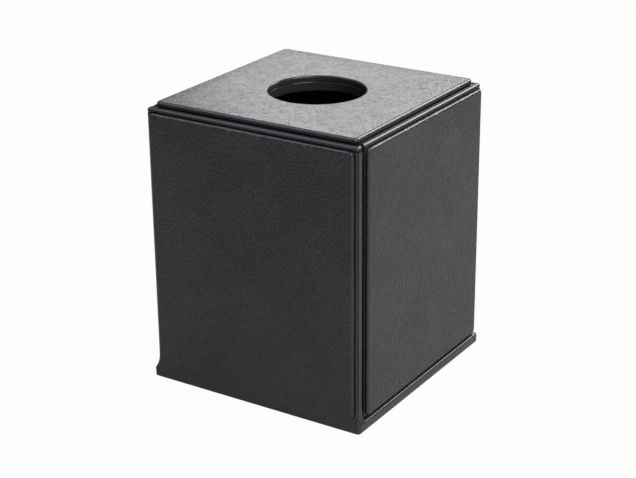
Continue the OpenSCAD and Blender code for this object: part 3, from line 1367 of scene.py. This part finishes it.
@dataclass(frozen=True)
class BoardFinish:
    """Bare fibreboard: brown, matt, speckled with short fibres."""

    name: str = "fibreboard"
    colour: Colour = (0.40, 0.27, 0.16)
    fibre: Colour = (0.24, 0.15, 0.08)
    grit: float = 1500.0
    grit_span: tuple[float, float] = (0.42, 0.62)
    fibre_share: float = 0.7
    patches: float = 60.0
    patch_share: float = 0.3
    roughness: tuple[float, float] = (0.8, 0.95)
    grit_depth: float = 0.08 * MM
    grit_strength: float = 0.7

    def build(self, effects: Effects) -> bpy.types.Material:
        """Builds the material.

        Args:
            effects: The shared node groups.

        Returns:
            The material.
        """
        material, bench, shader = open_material(self.name)
        place = bench.place()
        tone = bench.group(effects.tone, {"Vector": place, "Patches": self.patches})
        grit = bench.noise(place, self.grit, 4.0).outputs["Fac"]
        speckle = bench.ramp(grit, *self.grit_span, 0.0, self.fibre_share)
        patch = bench.math("MULTIPLY", tone["Mottled"], self.patch_share)
        share = bench.math("ADD", speckle, patch, clamp=True)
        bench.feed(shader, "Base Color", bench.mix(share, self.colour, self.fibre))
        bench.feed(shader, "Roughness", bench.ramp(grit, *NOISE_SPAN, *self.roughness))
        bench.bump(shader, grit, self.grit_depth, self.grit_strength)
        return material


@dataclass(frozen=True)
class FloorFinish:
    """A plain pale floor: white where it is seen or mirrored, with some of the object's shadow left."""

    name: str = "pale_floor"
    colour: Colour = (0.56, 0.56, 0.56)
    roughness: float = 0.9
    specular: float = 0.1
    white_share: float = 0.96
    mirrored_share: float = 0.06

    def build(self) -> bpy.types.Material:
        """Builds the material and returns it."""
        material, bench, shader = open_material(self.name)
        bench.feed_all(shader, {"Base Color": self.colour, "Roughness": self.roughness})
        bench.feed(shader, "Specular IOR Level", self.specular)
        white = bench.add("ShaderNodeEmission", {"Color": WHITE, "Strength": 1.0})
        share = bench.math("MULTIPLY", seen_share(bench, self.mirrored_share), self.white_share)
        mixed = bench.add("ShaderNodeMixShader", {0: share, 1: shader.outputs[0], 2: white.outputs[0]})
        output = material.node_tree.nodes["Material Output"]
        bench.feed(output, "Surface", mixed.outputs[0])
        return material


def seen_share(bench: NodeBench, mirrored: float) -> bpy.types.NodeSocket:
    """Gives how white a surface is made: fully where it is seen straight, partly where it is mirrored.

    Args:
        bench: The bench of the material or world.
        mirrored: How white it is in gloss and through glass, from 0 to 1.

    Returns:
        That value's socket, 0 for the light that falls on the object.
    """
    path = bench.add("ShaderNodeLightPath").outputs
    bounced = bench.math("ADD", path["Is Glossy Ray"], path["Is Transmission Ray"], clamp=True)
    faint = bench.math("MULTIPLY", bounced, mirrored)
    return bench.math("ADD", path["Is Camera Ray"], faint, clamp=True)


@dataclass(frozen=True)
class SoftBox:
    """A large soft lamp, given by where it stands, where it points and how bright its face is."""

    name: str
    place: tuple[float, float, float]
    width: float
    height: float
    brightness: float
    colour: Colour = WHITE
    aim: tuple[float, float, float] = (0.0, 0.0, 0.09)

    def build(self) -> bpy.types.Object:
        """Hangs the lamp and returns it."""
        light = bpy.data.lights.new(self.name, "AREA")
        light.shape = "RECTANGLE"
        light.size, light.size_y = self.width, self.height
        light.energy = self.brightness * math.pi * self.width * self.height
        light.color = self.colour
        lamp = bpy.data.objects.new(self.name, light)
        bpy.context.scene.collection.objects.link(lamp)
        lamp.location = self.place
        looks = Vector(self.aim) - Vector(self.place)
        lamp.rotation_mode = "QUATERNION"
        lamp.rotation_quaternion = looks.to_track_quat("-Z", "Y")
        lamp.visible_camera = False
        return lamp


BEHIND_AIM = (0.0, 0.0, 0.16)


@dataclass(frozen=True)
class Studio:
    """The floor, the lamps, the world and the camera, whose angles are in degrees."""

    floor_half: float = 5.0
    floor_drop: float = 0.05 * MM
    world_level: float = 0.12
    world_mirrored: float = 0.08
    camera_place: tuple[float, float, float] = (0.45123, -0.7055, 0.41279)
    camera_yaw: float = 32.619
    camera_pitch: float = 21.994
    camera_roll: float = -0.511
    lens: float = 90.518
    sensor: float = 36.0
    lamps: tuple[SoftBox, ...] = (
        SoftBox("back_left_softbox", (-0.71, 1.32, 0.76), 0.67, 0.44, 4.0, (0.985, 0.975, 1.0), BEHIND_AIM),
        SoftBox("back_right_softbox", (0.43, 1.42, 1.05), 0.64, 0.62, 9.2, (1.0, 0.97, 0.87), BEHIND_AIM),
        SoftBox("front_left_softbox", (-0.65, -0.35, 1.15), 0.7, 0.7, 2.0, (0.94, 0.955, 1.0)),
        SoftBox("overhead_softbox", (0.80, -0.22, 1.08), 0.9, 0.9, 7.4, (1.0, 0.965, 0.87)),
    )

    def lay_floor(self, finish: bpy.types.Material) -> None:
        """Lays the plain pale floor just under the object."""
        half = self.floor_half
        corners = [(-half, -half), (half, -half), (half, half), (-half, half)]
        mesh = bpy.data.meshes.new("floor")
        mesh.from_pydata([(x, y, -self.floor_drop) for x, y in corners], [], [(0, 1, 2, 3)])
        floor = bpy.data.objects.new("floor", mesh)
        floor.data.materials.append(finish)
        bpy.context.scene.collection.objects.link(floor)

    def light_world(self) -> None:
        """Makes the world a plain soft light that is seen as white."""
        world = bpy.data.worlds.new("studio")
        bpy.context.scene.world = world
        world.use_nodes = True
        bench = NodeBench(world.node_tree)
        background = world.node_tree.nodes["Background"]
        seen = seen_share(bench, self.world_mirrored)
        level = bench.math("MULTIPLY_ADD", seen, 1 - self.world_level, self.world_level)
        bench.feed_all(background, {"Color": WHITE, "Strength": level})

    def place_camera(self) -> None:
        """Puts the camera where the photograph was taken from."""
        yaw, pitch = math.radians(self.camera_yaw), math.radians(self.camera_pitch)
        right = Vector((math.cos(yaw), math.sin(yaw), 0))
        level_ahead = Vector((-math.sin(yaw), math.cos(yaw), 0))
        ahead = level_ahead * math.cos(pitch) - Vector((0, 0, math.sin(pitch)))
        level = Matrix((right, right.cross(ahead), -ahead)).transposed()
        roll = Matrix.Rotation(math.radians(self.camera_roll), 3, "Z")
        lens = bpy.data.cameras.new("camera")
        lens.lens, lens.sensor_width = self.lens, self.sensor
        camera = bpy.data.objects.new("camera", lens)
        bpy.context.scene.collection.objects.link(camera)
        camera.matrix_world = Matrix.Translation(self.camera_place) @ (level @ roll).to_4x4()
        bpy.context.scene.camera = camera

    def build(self) -> None:
        """Sets the whole studio up."""
        self.lay_floor(FloorFinish().build())
        self.light_world()
        for lamp in self.lamps:
            lamp.build()
        self.place_camera()
        bpy.context.scene.view_settings.view_transform = "Standard"
        log.info("studio: %d lamps", len(self.lamps))


WALL_LEATHER = LeatherFinish("wall_leather", pebble=0.8 * MM, grain_depth=0.016 * MM, drifts=1.0)
PANEL_LEATHER = LeatherFinish(
    name="panel_leather",
    pebble=1.8 * MM,
    grain_depth=0.23 * MM,
    colour=(0.0303, 0.0322, 0.0402),
    crease_colour=(0.0098, 0.0102, 0.0130),
    roughness=0.31,
    shine=0.21,
)
TOP_LEATHER = LeatherFinish("top_panel_leather", pebble=1.4 * MM, grain_depth=0.045 * MM, drifts=0.8)


def main() -> None:
    """Builds the studio and every piece, in order."""
    logging.basicConfig(level=logging.INFO, format="%(name)s: %(message)s")
    Studio().build()
    effects = Effects()
    wall_finish = WALL_LEATHER.build(effects)
    panel_finish = PANEL_LEATHER.build(effects)
    walls = (
        WallLeather(Side.FRONT, free_start=True, free_end=True, apron=True),
        WallLeather(Side.RIGHT, free_start=False, free_end=True),
        WallLeather(Side.BACK, free_start=False, free_end=False),
        WallLeather(Side.LEFT, free_start=True, free_end=False),
    )
    for wrapped in (*walls, TopLeather(), BaseRim()):
        wrapped.dress(wrapped.build(), wall_finish)
    for panel in [RaisedPanel.on_wall(side) for side in Side]:
        panel.dress(panel.build(), panel_finish)
    top_panel = RaisedPanel.on_top()
    top_panel.dress(top_panel.build(), TOP_LEATHER.build(effects))
    board_finish = BoardFinish().build(effects)
    wall_boards = PackedPieces(tuple(side.node("board") for side in Side), "board", edge_r=0.9 * MM)
    wall_boards.dress(wall_boards.build(), board_finish)
    other_boards = PackedPieces(("panel_board", "top_board", "base_board"), "board")
    other_boards.dress(other_boards.build(), board_finish)
    linings = PackedPieces(("lining",), "lining", edge_r=0.15 * MM)
    linings.dress(linings.build(), SuedeFinish().build(effects))


if __name__ == "__main__":
    main()
